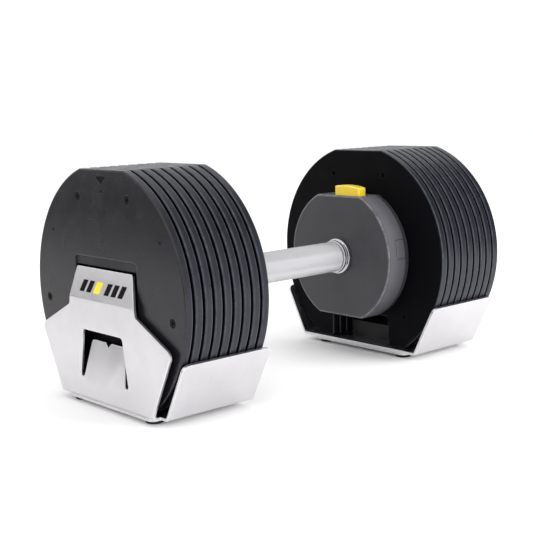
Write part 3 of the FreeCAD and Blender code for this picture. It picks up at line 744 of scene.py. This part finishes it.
def cradle_solid():
    """Flat pattern of the cradle, with its window, tongue and screw holes."""
    solid = Solid("z")

    def on_wall(corner, radius):
        return rise(corner[1]), corner[0], radius

    def mirrored(corners):
        return [(u, -v, radius) for u, v, radius in corners]

    half = [
        (CRADLE_START, WING_TOP, 6.0),
        (WALL_END, WING_TOP, 6.0),
        (WALL_END, END_FOOT[0], 1.0),
        on_wall(END_FOOT, 2.0),
        on_wall(SHOULDER, 6.0),
        on_wall(NECK_FOOT, 3.0),
        on_wall(NECK_BEND, 2.0),
        (rise(NECK_BEND_Z) + NECK_LENGTH, NECK_TOP_HALF, 2.5),
    ]
    outline = rounded(mirrored(half) + half[::-1], 9.0)
    slit = rise(TONGUE_HINGE)
    tip = rise(TONGUE_TOP[1])
    right = [(slit, WINDOW_LOW_HALF, 2.0), on_wall(WINDOW_TOP, 3.5)]
    tongue = [(slit, TONGUE_LOW[0], 1.8), (tip, TONGUE_TOP[0], 3.0), (tip, NOTCH_IN_TONGUE, 0.4)]
    window = right + mirrored(right[::-1]) + mirrored(tongue)
    window += [(tip - NOTCH_IN_TONGUE, 0.0, 0.4)] + tongue[::-1]
    loops = [outline, rounded(window)]
    for x in BASE_SCREW_X:
        for y in BASE_SCREW_Y:
            loops.append(circle(BASE_SCREW_R, (x, y), 15.0, hole=True))
    rings = levels(-SHEET, 0.0, SHEET_EDGE, SHEET_EDGE, 2, 0.35)
    walls = [solid.wall(loop, rings) for loop in loops]
    solid.fill(*[wall[0] for wall in walls])
    solid.fill(*[wall[1] for wall in walls])
    return solid


def bend_cuts():
    cuts = [(0, rise(TONGUE_HINGE)), (0, WALL_END + 0.02)]
    for axis, signs, bends, pieces in ((1, (-1, 1), SIDE_BENDS, 6), (0, (1,), END_BENDS, 8)):
        for start, angle, radius in bends:
            length = radius * math.radians(angle)
            for step in range(pieces + 1):
                cuts += [(axis, sign * (start + length * step / pieces)) for sign in signs]
    return cuts


# ---------------------------------------------------------------- neck label
LABEL_Y = (-35.0, 35.0)
LABEL_Z = (-2.5, 12.5)
LABEL_CORNER = 1.5
FILM_T = 0.06
BAR_T = 0.05
BAR_Z = (0.2, 9.9)
BAR_LEAN = 5.0
BAR_CORNER = 0.3


def lean_neck(point):
    """Tips a point on the upright end wall over with the neck."""
    x, y, z = point
    angle = math.radians(NECK_LEAN)
    out, height = x - END_OUTER, z - NECK_PIVOT_Z
    return (
        END_OUTER + out * math.cos(angle) - height * math.sin(angle),
        y,
        height * math.cos(angle) + out * math.sin(angle) + NECK_PIVOT_Z,
    )


def label_solid():
    solid = Solid()
    outline = rectangle(LABEL_Y, LABEL_Z, LABEL_CORNER)
    solid.slab(outline, [], END_OUTER, END_OUTER + FILM_T)
    return solid


def bars_solid(places):
    """Slanted bars of print; places are the (low, high) ends of each bar's foot."""
    solid = Solid()
    for low, high in places:
        outline = rounded([
            (low, BAR_Z[0], BAR_CORNER), (high, BAR_Z[0], BAR_CORNER),
            (high + BAR_LEAN, BAR_Z[1], BAR_CORNER), (low + BAR_LEAN, BAR_Z[1], BAR_CORNER),
        ])
        solid.slab(outline, [], END_OUTER + FILM_T, END_OUTER + FILM_T + BAR_T)
    return solid


BLACK_BARS = [(-31.0, -24.5), (-21.5, -15.0), (3.5, 10.0), (13.0, 19.5), (22.5, 29.0)]
YELLOW_BARS = [(-11.5, -3.0)]

for side in SIDES:
    name = f"cradle_{side}"
    piece(name + "_sheet", cradle_solid(), side, "stand", SILVER, [name],
          fold_cradle, bend_cuts())
    name = f"neck_label_{side}"
    piece(name + "_film", label_solid(), side, "stand", FILM, [name], lean_neck)
    piece(name + "_dark_bars", bars_solid(BLACK_BARS), side, "stand", INK,
          (), lean_neck)
    piece(name + "_bright_bars", bars_solid(YELLOW_BARS), side, "stand", YELLOW_INK,
          (), lean_neck)


# ---------------------------------------------------------------- housing
WELL_X = (77.6, 88.8)
WELL_Y = (-24.7, 6.7)
WELL_FLOOR = 44.9
FRONT_END = 79.0
FRONT_EDGE = 1.4
RIM_EDGE = 0.3
BOSS_ANGLES = (20.0, 160.0, 200.0, 340.0)
BOSS_DISTANCE = 53.0
BOSS_R = 4.2
SHELF_Y = (-23.0, -15.0)
SHELF_Z = (38.0, 40.0)
SHELF_END = 88.0
PLUG_GAP = 0.35
PLUG_CORNER = 2.6
PLUG_MOUTH_CORNER = 2.9


def rim_stations():
    """Points and outward mitres along the housing's outline, from the middle of its lower flat."""
    loop = housing_loop()
    corners = [(0.0, -HOUSING_FLAT)] + loop
    outward = [(-a, -b) for a, b in
               [(p[0] - q[0], p[1] - q[1]) for p, q in zip(shift(loop, 1.0), loop)]]
    outward = [(0.0, -1.0)] + outward
    corners.append(corners[0])
    outward.append(outward[0])
    distances = [0.0]
    for first, second in zip(corners, corners[1:]):
        distances.append(distances[-1] + math.dist(first, second))
    return corners, outward, distances


CORNERS, OUTWARD, DISTANCES = rim_stations()
RIM_LENGTH = DISTANCES[-1]


def wrap_rim(point):
    """Flat pattern (distance round the rim, x, depth) to its place round the housing."""
    distance, x, depth = point
    distance = min(max(distance, 0.0), RIM_LENGTH)
    index = 0
    while index < len(DISTANCES) - 2 and DISTANCES[index + 1] < distance - 1e-6:
        index += 1
    share = (distance - DISTANCES[index]) / (DISTANCES[index + 1] - DISTANCES[index])
    place = []
    for axis in (0, 1):
        on_rim = CORNERS[index][axis] * (1 - share) + CORNERS[index + 1][axis] * share
        out = OUTWARD[index][axis] * (1 - share) + OUTWARD[index + 1][axis] * share
        place.append(on_rim + out * depth)
    return x, place[0], place[1]


def round_to(y, z):
    """Distance round the rim to its point nearest to (y, z)."""
    best = min(range(len(CORNERS)), key=lambda i: math.dist(CORNERS[i], (y, z)))
    return DISTANCES[best]


UPPER_HALF = math.sqrt(HOUSING_R ** 2 - HOUSING_FLAT ** 2)
UPPER_RIGHT = round_to(UPPER_HALF, HOUSING_FLAT)


def rim_distance(z):
    """Distance round the rim to height z on the -Y side."""
    return RIM_LENGTH * 0.75 - HOUSING_R * math.asin(z / HOUSING_R)


PLUG_ENDS = (rim_distance(PLUG_HIGH), rim_distance(PLUG_LOW))


def rim_cuts():
    return [(0, distance) for distance in DISTANCES[1:-1]]


def housing_solid():
    """Front disc with a rounded edge, its screw bosses and the shelf under the spring."""
    solid = Solid()
    bore = circle(BUSH_R, step=6.0, hole=True)
    solid.slab(housing_loop(), [bore], HOUSING_START, WELL_X[0], FRONT_EDGE, 0.0)
    inner = housing_loop(RIM_T)
    flat_at = HOUSING_FLAT - RIM_T
    notch = [(WELL_Y[1], flat_at), (WELL_Y[1], WELL_FLOOR),
             (WELL_Y[0], WELL_FLOOR), (WELL_Y[0], flat_at)]
    middle = next(i for i, p in enumerate(inner) if p[0] < 0)
    inner = inner[:middle] + notch + inner[middle:]
    solid.slab(inner, [bore], WELL_X[0], FRONT_END)
    for angle in BOSS_ANGLES:
        boss = circle(BOSS_R, polar(BOSS_DISTANCE, angle), 20.0)
        solid.slab(boss, [], FRONT_END, HOUSING_BACK)
    solid.block(SHELF_Y, SHELF_Z, (FRONT_END, SHELF_END), 0.3)
    return solid


def rim_solid():
    """Flat pattern of the rim, with the mouths for the button and the plug."""
    solid = Solid("z")
    well = (UPPER_RIGHT + UPPER_HALF - WELL_Y[1], UPPER_RIGHT + UPPER_HALF - WELL_Y[0])
    plug = (PLUG_ENDS[0] - PLUG_GAP, PLUG_ENDS[1] + PLUG_GAP)
    front = WELL_X[0]
    outline = rounded([
        (0.0, front, 0.0), (well[0], front, 0.0),
        (well[0], WELL_X[1], 2.0), (well[1], WELL_X[1], 2.0),
        (well[1], front, 0.0), (RIM_LENGTH, front, 0.0),
        (RIM_LENGTH, HOUSING_BACK, 0.0), (plug[1], HOUSING_BACK, 0.0),
        (plug[1], PLUG_START - PLUG_GAP, PLUG_MOUTH_CORNER),
        (plug[0], PLUG_START - PLUG_GAP, PLUG_MOUTH_CORNER),
        (plug[0], HOUSING_BACK, 0.0), (0.0, HOUSING_BACK, 0.0),
    ])
    weights = []
    for a, b in outline:
        free = 0.01 < a < RIM_LENGTH - 0.01 and b > front + 0.01
        weights.append(1.0 if free else 0.0)
    rings = levels(-RIM_T, 0.0, RIM_EDGE, RIM_EDGE, 2, 0.4)
    low, high = solid.wall(outline, rings, weights)
    solid.fill(low)
    solid.fill(high)
    return solid


def plug_solid():
    """Flat pattern of the plug that closes the rim's side mouth."""
    solid = Solid("z")
    first, last = PLUG_ENDS
    outline = rounded([
        (first, PLUG_START, PLUG_CORNER), (last, PLUG_START, PLUG_CORNER),
        (last, PLUG_END, 0.6), (first, PLUG_END, 0.6),
    ])
    solid.slab(outline, [], -RIM_T, 0.0, RIM_EDGE, RIM_EDGE, 2, 0.4)
    return solid


# ---------------------------------------------------------------- release button
CAP_X = (77.9, 88.5)
CAP_Y = (-24.4, 6.4)
CAP_PEAK = -5.5
CAP_HALF = (CAP_Y[1] - CAP_Y[0]) / 2
CAP_PIECES = 16
CROWN_DROP = 1.5
FLANGE_X = (79.4, 90.3)
FLANGE_Y = (-26.2, 8.2)
FLANGE_Z = (49.9, 52.9)
STEM_Y = (-12.0, -2.0)
STEM_LOW = 30.5
YOKE_X = (80.4, 82.4)
YOKE_Y = (-30.5, 30.5)
YOKE_Z = (-34.5, 32.5)
OPENING_Y = (-26.5, 26.5)
OPENING_Z = (-30.5, 28.5)
TOOTH_Y = (-1.3, 1.3)
TOOTH_Z = (-31.0, -24.1)


def crown(point):
    """Arches the cap's top along its length."""
    x, y, z = point
    if z < HOUSING_FLAT:
        return x, y, z
    share = (z - HOUSING_FLAT) / (BUTTON_TOP - HOUSING_FLAT)
    return x, y, z - CROWN_DROP * share * ((y - CAP_PEAK) / CAP_HALF) ** 2


def button_solid():
    """Crowned cap on its flange, with the stem and the yoke round the crown wheel."""
    solid = Solid("z")
    solid.slab(rectangle(CAP_X, CAP_Y, 2.0, 15.0), [], FLANGE_Z[0], BUTTON_TOP, 0.0, 1.3, 4, 0.5)
    solid.block(FLANGE_X, FLANGE_Y, FLANGE_Z, 0.3)
    solid.block(YOKE_X, STEM_Y, (STEM_LOW, FLANGE_Z[0]), 0.2)
    solid.along = "x"
    opening = rectangle(OPENING_Y, OPENING_Z, 1.0, hole=True)
    solid.slab(rectangle(YOKE_Y, YOKE_Z, 2.0), [opening], *YOKE_X, 0.2, 0.2, 2, 0.3)
    solid.block(TOOTH_Y, TOOTH_Z, YOKE_X, 0.2)
    return solid


SPRING_PLACE = (84.5, -19.0)
SPRING_R = 2.4
SPRING_WIRE_R = 0.4
SPRING_Z = (40.4, 49.4)
SPRING_TURNS = 4.5
STEPS_A_TURN = 24
WIRE_CORNERS = 10


def spring_solid():
    """Coil of round wire between the housing's shelf and the button's flange."""
    solid = Solid("z")
    steps = round(SPRING_TURNS * STEPS_A_TURN)
    rings = []
    for step in range(steps + 1):
        share = step / steps
        height = SPRING_Z[0] + (SPRING_Z[1] - SPRING_Z[0]) * share
        ring = []
        for corner in range(WIRE_CORNERS):
            out, up = polar(SPRING_WIRE_R, 360.0 / WIRE_CORNERS * corner)
            x, y = polar(SPRING_R + out, 360.0 * SPRING_TURNS * share)
            ring.append(len(solid.points))
            solid.points.append((SPRING_PLACE[0] + x, SPRING_PLACE[1] + y, height + up))
            solid.wear_and_highlight.append(0.0)
        rings.append(ring)
    for lower, upper in zip(rings, rings[1:]):
        solid.bridge(lower, upper)
    solid.faces += [tuple(rings[0]), tuple(rings[-1])]
    return solid


# ---------------------------------------------------------------- grip
KNURLS_AROUND = 56
KNURL_PITCH = 1.58
KNURL_DEPTH = 0.34
KNURL_HALF = 66.0
JOURNAL_EDGE = 0.4
GRIP_EDGE = 0.5

COLLAR_MOUTH_R = 15.2
COLLAR_BEAD = (70.6, 15.4)
COLLAR_GROOVE = (71.0, 71.6)
COLLAR_GROOVE_R = 14.7
COLLAR_STEP = 72.4


def grip_solid():
    """Tube with a cut diamond knurl between two plain bands, and a plain journal at each end."""
    solid = Solid()
    around = 2 * KNURLS_AROUND
    step = 360.0 / around

    def band(x, radius):
        return solid.ring(circle(radius, step=step), x)

    left = [(-TUBE_END, BORE_R), (-TUBE_END, JOURNAL_R - JOURNAL_EDGE),
            (-TUBE_END + JOURNAL_EDGE, JOURNAL_R), (-GRIP_HALF, JOURNAL_R),
            (-GRIP_HALF, GRIP_R - GRIP_EDGE), (-GRIP_HALF + GRIP_EDGE, GRIP_R),
            (-KNURL_HALF - 0.4, GRIP_R)]
    made = [band(x, radius) for x, radius in left]
    rows = 2 * round(2 * KNURL_HALF / KNURL_PITCH)
    knurl = []
    for row in range(rows + 1):
        x = -KNURL_HALF + 2 * KNURL_HALF * row / rows
        # the knurl's peaks get the full edge mark: partly abrasion, partly painted highlight
        loop, wear_and_highlight = [], []
        for column in range(around):
            peak = (row + column) % 2 == 0
            loop.append(polar(GRIP_R if peak else GRIP_R - KNURL_DEPTH, step * column))
            wear_and_highlight.append(1.0 if peak else 0.0)
        ring = solid.ring(loop, x)
        solid.wear_and_highlight[ring[0]:ring[-1] + 1] = wear_and_highlight
        knurl.append(ring)
    for row, (lower, upper) in enumerate(zip(knurl, knurl[1:])):
        for column in range(around):
            after = (column + 1) % around
            corners = (lower[column], lower[after], upper[after], upper[column])
            first = 0 if (row + column) % 2 else 1
            turned = corners[first:] + corners[:first]
            solid.faces += [turned[:3], (turned[0], turned[2], turned[3])]
    right = [band(-x, radius) for x, radius in left[::-1]]
    for lower, upper in zip(made, made[1:]):
        solid.bridge(lower, upper)
    solid.bridge(made[-1], knurl[0])
    solid.bridge(knurl[-1], right[0])
    for lower, upper in zip(right, right[1:] + made[:1]):
        solid.bridge(lower, upper)
    return solid


def collar_solid():
    """Turned ring with a bead, a groove and a step up to its full radius."""
    solid = Solid()
    profile = rounded([
        (COLLAR_START, JOURNAL_R, 0.0), (COLLAR_START, COLLAR_MOUTH_R, 0.9), (*COLLAR_BEAD, 0.5),
        (COLLAR_GROOVE[0], COLLAR_GROOVE_R, 0.2), (COLLAR_GROOVE[1], COLLAR_GROOVE_R, 0.2),
        (COLLAR_STEP, COLLAR_R, 0.8),
        (COLLAR_END, COLLAR_R, 0.9), (COLLAR_END, JOURNAL_R, 0.0),
    ], 18.0)
    solid.lathe(profile)
    return solid


for side in SIDES:
    name = f"housing_{side}"
    piece(name + "_face", housing_solid(), side, "handle", HOUSING, [name])
    # the rim and its plug take the lighter copy of the housing plastic: painted light
    piece(name + "_rim", rim_solid(), side, "handle", HOUSING_RIM_LIT, [name],
          wrap_rim, rim_cuts())
    name = f"rim_plug_{side}"
    piece(name + "_fitted", plug_solid(), side, "handle", HOUSING_RIM_LIT, [name],
          wrap_rim, rim_cuts())
    name = f"release_button_{side}"
    stations = [(1, CAP_Y[0] + (CAP_Y[1] - CAP_Y[0]) * step / CAP_PIECES)
                for step in range(1, CAP_PIECES)]
    piece(name + "_crowned", button_solid(), side, f"button_{side}", BUTTON,
          [name], crown, stations)
    name = f"button_spring_{side}"
    spring = piece(name + "_coil", spring_solid(), side, "handle", STEEL, [name])
    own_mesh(spring)
    name = f"collar_{side}"
    piece(name + "_turned", collar_solid(), side, "grip", CHROME, [name],
          sharp=40.0)
piece("grip_tube_knurled", grip_solid(), "right", "grip", KNURL, ["grip_tube"],
      sharp=20.0)

# ---------------------------------------------------------------- CAD nodes that keep their shape
KEPT = {
    "foot_plate": SILVER,
    "feet": RUBBER,
    "cradle_screws": STEEL,
    "divider_rail": RAIL,
    "rear_cover": HOUSING,
    "cover_screws": DARK_SCREW,
    "grip_bush": BRASS,
    "pinion_axle": STEEL,
    "crown_wheel": STEEL,
    "pinion": STEEL,
    "selector_bar": STEEL,
    "end_plate_screws": DARK_SCREW,
}
for kind, material in KEPT.items():
    for side in SIDES:
        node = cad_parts[f"{kind}_{side}"]
        node.data.materials.clear()
        node.data.materials.append(material)


# ---------------------------------------------------------------- stage, lights, camera
def paint_floor():
    material = bpy.data.materials.new("pale floor")
    material.use_nodes = True
    tree = material.node_tree
    shader = tree.nodes["Principled BSDF"]
    place = add_node(tree, "TexCoord").outputs["Object"]
    tone = blend_colours(tree, noise(tree, place, 0.5), (0.95, 0.95, 0.95), (0.97, 0.97, 0.97))
    tree.links.new(tone, shader.inputs["Base Color"])
    shader.inputs["Roughness"].default_value = 0.7
    shader.inputs["Specular IOR Level"].default_value = 0.2
    return material


bpy.ops.mesh.primitive_plane_add(size=12.0, location=(0.0, 0.0, 0.0))
floor = bpy.context.object
floor.name = "floor"
floor.data.materials.append(paint_floor())


def soft_light(name, place, target, width, height, power):
    data = bpy.data.lights.new(name, "AREA")
    data.shape = "RECTANGLE"
    data.size = width
    data.size_y = height
    data.energy = power
    light = bpy.data.objects.new(name, data)
    bpy.context.scene.collection.objects.link(light)
    light.location = place
    aim = Vector(target) - Vector(place)
    light.rotation_mode = "QUATERNION"
    light.rotation_quaternion = aim.to_track_quat("-Z", "Y")
    return light


top_box = soft_light("top softbox", (0.0, 0.1, 1.6), (0.0, 0.0, 0.0), 1.8, 1.8, 7.0)
top_box.visible_glossy = False
soft_light("left softbox", (-1.6, -0.1, 0.7), (0.0, 0.0, 0.1), 1.2, 1.2, 4.0)
right_box = soft_light("right softbox", (0.9, -1.5, 0.6), (0.1, 0.0, 0.1), 1.2, 1.0, 32.0)
right_box.visible_glossy = False


def card(name, place, turn, size, material):
    """Card beside the set.  Only glossy surfaces see it."""
    bpy.ops.mesh.primitive_plane_add(size=1.0, location=place)
    made = bpy.context.object
    made.name = name
    made.rotation_euler = [math.radians(angle) for angle in turn]
    made.scale = (*size, 1.0)
    made.data.materials.append(material)
    made.visible_camera = False
    made.visible_diffuse = False
    made.visible_shadow = False
    made.visible_transmission = False


card("dark_card", (-0.745, 0.85, 0.07), (90.0, 0.0, 90.0), (2.5, 0.14), RUBBER)
card("right_card", (1.0, -0.50, 0.85), (90.0, 0.0, 90.0), (1.20, 1.70), CARD)

world = bpy.data.worlds.new("studio")
bpy.context.scene.world = world
world.use_nodes = True
sky = world.node_tree.nodes["Background"]
sky.inputs["Color"].default_value = (1.0, 1.0, 1.0, 1.0)
sky.inputs["Strength"].default_value = 1.05

scene = bpy.context.scene
scene.view_settings.view_transform = "Standard"
scene.view_settings.look = "None"

AZIMUTH = math.radians(-41.48)
ELEVATION = math.radians(8.83)
ROLL = math.radians(-1.60)
DISTANCE = 0.9599
LENS = 73.30
SENSOR = 36.0
AIM_X = -0.01531
AIM_ABOVE_AXIS = 0.00105
back = Vector((
    math.sin(AZIMUTH) * math.cos(ELEVATION),
    -math.cos(AZIMUTH) * math.cos(ELEVATION),
    math.sin(ELEVATION),
))
level_right = Vector((0.0, 0.0, 1.0)).cross(back).normalized()
level_up = back.cross(level_right)
right = level_right * math.cos(ROLL) + level_up * math.sin(ROLL)
up = level_up * math.cos(ROLL) - level_right * math.sin(ROLL)
camera_data = bpy.data.cameras.new("camera")
camera_data.lens = LENS
camera_data.sensor_width = SENSOR
camera = bpy.data.objects.new("camera", camera_data)
scene.collection.objects.link(camera)
turn = Matrix((right, up, back)).transposed().to_4x4()
target = Vector((AIM_X, 0.0, AXIS_Z + AIM_ABOVE_AXIS))
camera.matrix_world = Matrix.Translation(target + back * DISTANCE) @ turn
scene.camera = camera
